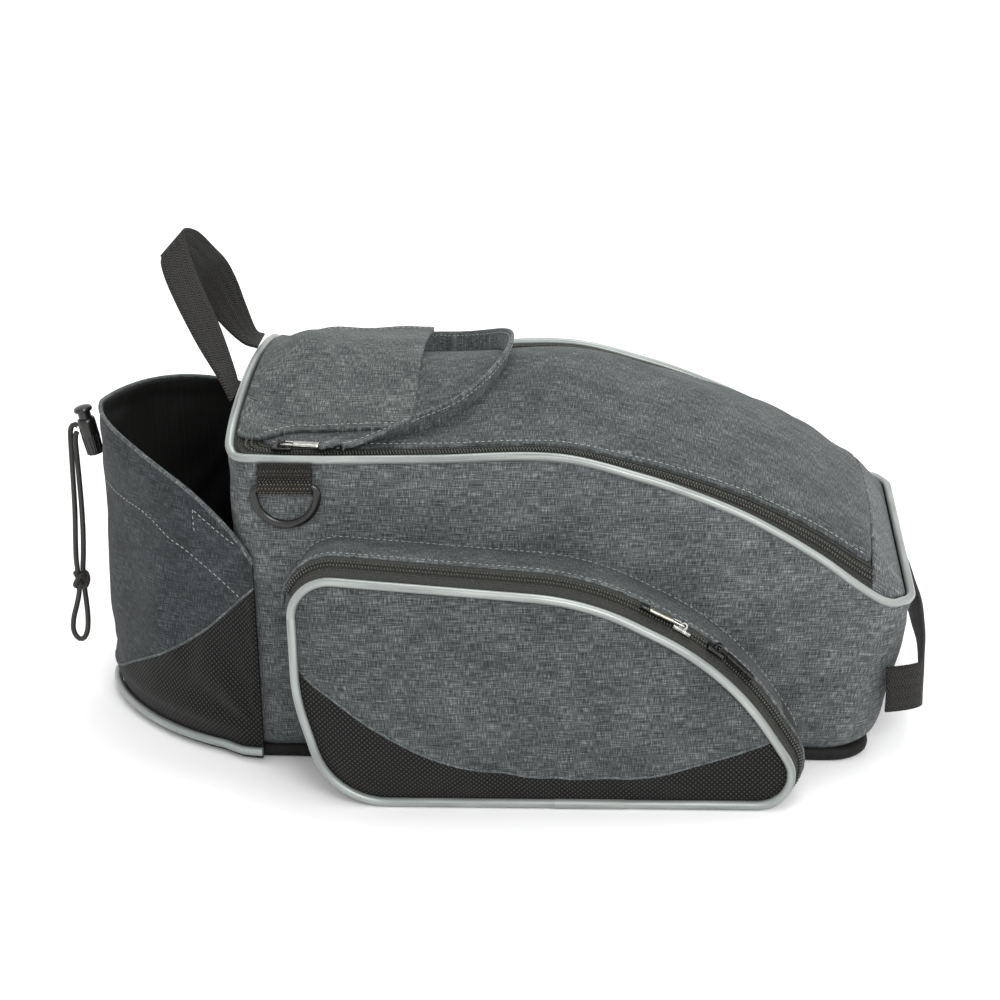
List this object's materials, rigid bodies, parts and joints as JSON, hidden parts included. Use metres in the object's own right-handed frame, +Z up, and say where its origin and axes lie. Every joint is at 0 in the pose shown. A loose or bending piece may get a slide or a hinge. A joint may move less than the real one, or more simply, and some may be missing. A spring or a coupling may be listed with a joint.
{
  "type": "bicycle trunk bag",
  "caption": "Padded rear-rack bicycle trunk bag with sloping zipped lid, zipped side pockets, end bottle pocket, webbing carry loop, flap and cord lock.",
  "frame": {"origin": "middle of the flat sole, on the surface that the bag stands on", "axes": "+Z up; -X towards the bottle pocket, +X towards the low sloping end; -Y is the near side of the picture"},
  "size_m": [0.5114, 0.3358, 0.3055],
  "materials": {
    "grey_fabric": "heather grey woven polyester, padded, matte",
    "black_fabric": "black ripstop woven, matte",
    "webbing": "black ribbed woven webbing",
    "piping": "silver grey reflective piping, satin",
    "zip_tape": "black zip tape with a coil of teeth",
    "dark_metal": "gunmetal plated zinc, glossy",
    "black_plastic": "moulded black nylon, satin",
    "elastic": "braided black elastic cord"
  },
  "bodies": {
    "bag": {"body_wall": "grey_fabric", "lid": "grey_fabric", "rear_panel": "grey_fabric", "top_flap": "grey_fabric", "band_handle": "grey_fabric", "near_pocket": "grey_fabric", "far_pocket": "grey_fabric", "bottle_pocket": "grey_fabric", "base_panel": "black_fabric", "bottle_pocket_base": "black_fabric", "front_handle": "webbing", "rear_strap": "webbing", "near_ring_tab": "webbing", "far_ring_tab": "webbing", "top_piping": "piping", "near_pocket_piping": "piping", "far_pocket_piping": "piping", "bottle_pocket_piping": "piping", "main_zip": "zip_tape", "near_pocket_zip": "zip_tape", "far_pocket_zip": "zip_tape", "near_main_slider": "dark_metal", "near_pocket_front_slider": "dark_metal", "near_pocket_rear_slider": "dark_metal", "far_main_slider": "dark_metal", "far_pocket_front_slider": "dark_metal", "far_pocket_rear_slider": "dark_metal", "cord_lock": "black_plastic", "elastic_cord": "elastic", "cord_knot": "elastic"},
    "near_ring": {"near_d_ring": "black_plastic"},
    "far_ring": {"far_d_ring": "black_plastic"},
    "button": {"lock_button": "black_plastic"},
    "near_main_pull": {"near_main_puller": "dark_metal"},
    "near_pocket_front_pull": {"near_pocket_front_puller": "dark_metal"},
    "near_pocket_rear_pull": {"near_pocket_rear_puller": "dark_metal"},
    "far_main_pull": {"far_main_puller": "dark_metal"},
    "far_pocket_front_pull": {"far_pocket_front_puller": "dark_metal"},
    "far_pocket_rear_pull": {"far_pocket_rear_puller": "dark_metal"}
  },
  "joints": [
    {"name": "near_ring_swing", "type": "hinge", "parent": "bag", "child": "near_ring", "pos_m": [-0.149, -0.1094, 0.16647], "axis": [-1, 0, 0], "range_deg": [0, 150]},
    {"name": "far_ring_swing", "type": "hinge", "parent": "bag", "child": "far_ring", "pos_m": [0.15, 0.1094, 0.092], "axis": [1, 0, 0], "range_deg": [0, 150]},
    {"name": "near_main_pull_swing", "type": "hinge", "parent": "bag", "child": "near_main_pull", "pos_m": [-0.15168, -0.0952, 0.18727], "axis": [-0.0045, -0.9964, -0.0841], "range_deg": [0, 150]},
    {"name": "far_main_pull_swing", "type": "hinge", "parent": "bag", "child": "far_main_pull", "pos_m": [-0.15168, 0.0952, 0.18727], "axis": [0.0045, -0.9964, 0.0841], "range_deg": [0, 150]},
    {"name": "near_pocket_front_pull_swing", "type": "hinge", "parent": "bag", "child": "near_pocket_front_pull", "pos_m": [0.06804, -0.1498, 0.10356], "axis": [0, 1, 0], "range_deg": [0, 100]},
    {"name": "far_pocket_front_pull_swing", "type": "hinge", "parent": "bag", "child": "far_pocket_front_pull", "pos_m": [0.06804, 0.1498, 0.10356], "axis": [0, 1, 0], "range_deg": [0, 100]},
    {"name": "near_pocket_rear_pull_swing", "type": "hinge", "parent": "bag", "child": "near_pocket_rear_pull", "pos_m": [0.08673, -0.1498, 0.09091], "axis": [0, -1, 0], "range_deg": [0, 100]},
    {"name": "far_pocket_rear_pull_swing", "type": "hinge", "parent": "bag", "child": "far_pocket_rear_pull", "pos_m": [0.08673, 0.1498, 0.09091], "axis": [0, -1, 0], "range_deg": [0, 100]},
    {"name": "button_press", "type": "slide", "parent": "bag", "child": "button", "axis": [0.1957, 0, -0.9807], "range_m": [0, 0.004], "stiffness_N_per_m": 300}
  ]
}
